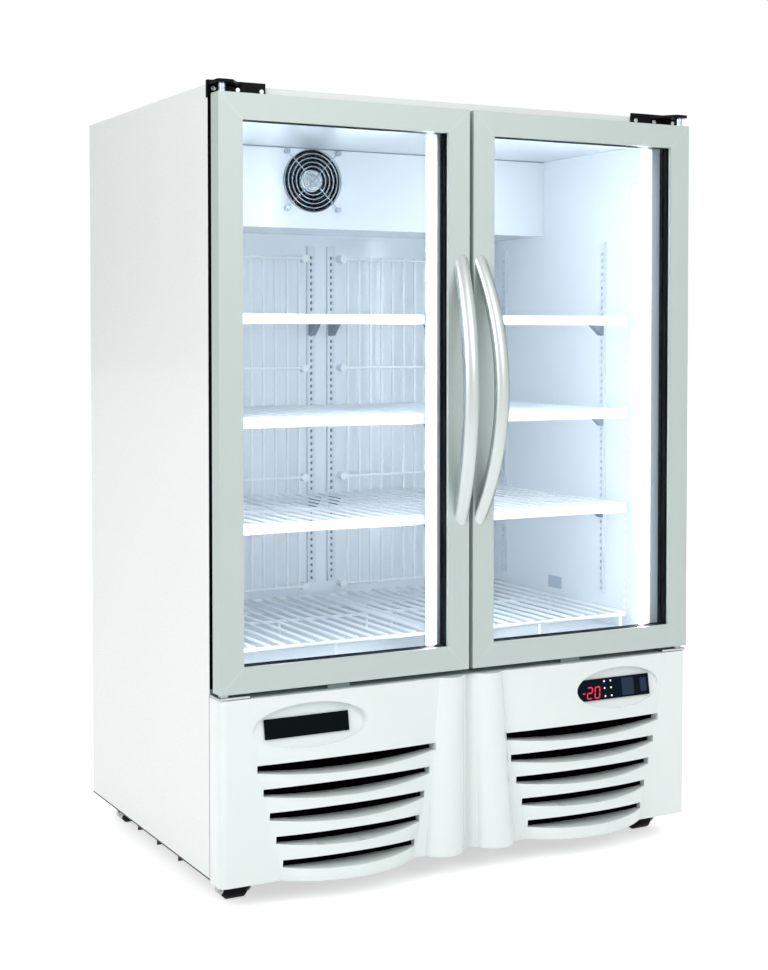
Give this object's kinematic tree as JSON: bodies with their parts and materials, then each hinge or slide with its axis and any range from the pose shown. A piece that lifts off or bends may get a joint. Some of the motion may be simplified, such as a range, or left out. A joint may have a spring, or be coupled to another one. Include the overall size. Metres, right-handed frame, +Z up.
{
  "type": "glass door freezer",
  "caption": "Upright display freezer: insulated cabinet, hinged glass doors with bowed handles, wire shelves, lamps, louvred kick panel with controller, on fixed rollers.",
  "frame": {"origin": "on the floor under the middle of the whole box", "axes": "+Z up, doors face -Y, +X to the right of someone facing the doors"},
  "size_m": [0.918, 0.6888, 1.31],
  "materials": {
    "cabinet_paint": "white powder coat",
    "foam": "rigid foam",
    "liner_paint": "white painted liner",
    "black_plastic": "black moulded plastic",
    "grey_steel": "plain grey steel",
    "dark_steel": "dark painted steel",
    "kick_plastic": "glossy white moulding",
    "filter_foam": "open black filter foam",
    "badge_plastic": "gloss black plate",
    "control_film": "dark blue printed film",
    "key_plastic": "blue grey key",
    "fan_plastic": "black fan plastic",
    "guard_chrome": "chromed wire",
    "coil_aluminium": "fin stock",
    "strip_plastic": "white strip",
    "standard_steel": "zinc plated",
    "wire_coating": "white coated wire",
    "lamp_lens": "milky lamp lens",
    "compressor_paint": "black enamel",
    "zinc_steel": "zinc plated steel",
    "hinge_paint": "black painted steel",
    "roller_nylon": "black nylon",
    "door_aluminium": "satin anodised",
    "door_glass": "clear glass",
    "gasket_rubber": "black magnetic gasket",
    "handle_satin": "satin silver"
  },
  "bodies": {
    "cabinet": {"air_filters": "filter_foam", "back_guards": "wire_coating", "back_panel": "cabinet_paint", "badge_plate": "badge_plastic", "base_frame": "dark_steel", "bottom_hinges": "zinc_steel", "breaker_frame": "liner_paint", "cabinet_deck": "grey_steel", "centre_mullion": "liner_paint", "compressor": "compressor_paint", "condensate_pan": "black_plastic", "condenser_coil": "coil_aluminium", "condenser_fan_frame": "dark_steel", "control_housing": "black_plastic", "control_panel": "control_film", "door_lamps": "lamp_lens", "evaporator_coil": "coil_aluminium", "evaporator_cover": "liner_paint", "evaporator_fan_frame": "fan_plastic", "evaporator_fan_guard": "guard_chrome", "floor_racks": "wire_coating", "foam_insulation": "foam", "hinge_screws": "zinc_steel", "inner_liner": "liner_paint", "kick_panel": "kick_plastic", "outer_shell": "cabinet_paint", "power_inlet": "black_plastic", "price_strips": "strip_plastic", "rear_grille": "cabinet_paint", "roller_brackets": "zinc_steel", "shelf_clips": "standard_steel", "shelf_left_high": "wire_coating", "shelf_left_low": "wire_coating", "shelf_left_middle": "wire_coating", "shelf_right_high": "wire_coating", "shelf_right_low": "wire_coating", "shelf_right_middle": "wire_coating", "shelf_standards": "standard_steel", "top_hinge_left": "hinge_paint", "top_hinge_right": "hinge_paint"},
    "left_door": {"door_frame_left": "door_aluminium", "door_gasket_left": "gasket_rubber", "door_handle_left": "handle_satin", "door_inner_frame_left": "black_plastic", "glass_panes_left": "door_glass", "glass_spacer_left": "black_plastic"},
    "right_door": {"door_frame_right": "door_aluminium", "door_gasket_right": "gasket_rubber", "door_handle_right": "handle_satin", "door_inner_frame_right": "black_plastic", "glass_panes_right": "door_glass", "glass_spacer_right": "black_plastic"},
    "evaporator_fan": {"evaporator_fan_blades": "fan_plastic"},
    "condenser_fan": {"condenser_fan_blades": "fan_plastic"},
    "wide_key": {"control_key_wide": "key_plastic"},
    "narrow_key": {"control_key_narrow": "key_plastic"},
    "roller_front_left": {"roller_front_left": "roller_nylon"},
    "roller_front_right": {"roller_front_right": "roller_nylon"},
    "roller_rear_left": {"roller_rear_left": "roller_nylon"},
    "roller_rear_right": {"roller_rear_right": "roller_nylon"}
  },
  "joints": [
    {"name": "left_door_hinge", "type": "hinge", "parent": "cabinet", "child": "left_door", "pos_m": [-0.445, -0.26986, 0.817], "axis": [0, 0, -1], "range_deg": [0, 120]},
    {"name": "right_door_hinge", "type": "hinge", "parent": "cabinet", "child": "right_door", "pos_m": [0.445, -0.26986, 0.817], "axis": [0, 0, 1], "range_deg": [0, 120]},
    {"name": "evaporator_fan_spin", "type": "hinge", "parent": "cabinet", "child": "evaporator_fan", "pos_m": [-0.106, 0.11694, 1.197], "axis": [0, 1, 0], "continuous": true},
    {"name": "condenser_fan_spin", "type": "hinge", "parent": "cabinet", "child": "condenser_fan", "pos_m": [-0.19, -0.12356, 0.156], "axis": [0, 1, 0], "continuous": true},
    {"name": "wide_key_press", "type": "slide", "parent": "cabinet", "child": "wide_key", "axis": [0, 0.9848, -0.1736], "range_m": [0, 0.001], "stiffness_N_per_m": 400},
    {"name": "narrow_key_press", "type": "slide", "parent": "cabinet", "child": "narrow_key", "axis": [0, 0.9848, -0.1736], "range_m": [0, 0.001], "stiffness_N_per_m": 400},
    {"name": "roller_front_left_spin", "type": "hinge", "parent": "cabinet", "child": "roller_front_left", "pos_m": [-0.405, -0.21156, 0.019], "axis": [1, 0, 0], "continuous": true},
    {"name": "roller_front_right_spin", "type": "hinge", "parent": "cabinet", "child": "roller_front_right", "pos_m": [0.405, -0.21156, 0.019], "axis": [1, 0, 0], "continuous": true},
    {"name": "roller_rear_left_spin", "type": "hinge", "parent": "cabinet", "child": "roller_rear_left", "pos_m": [-0.405, 0.27044, 0.019], "axis": [1, 0, 0], "continuous": true},
    {"name": "roller_rear_right_spin", "type": "hinge", "parent": "cabinet", "child": "roller_rear_right", "pos_m": [0.405, 0.27044, 0.019], "axis": [1, 0, 0], "continuous": true}
  ]
}
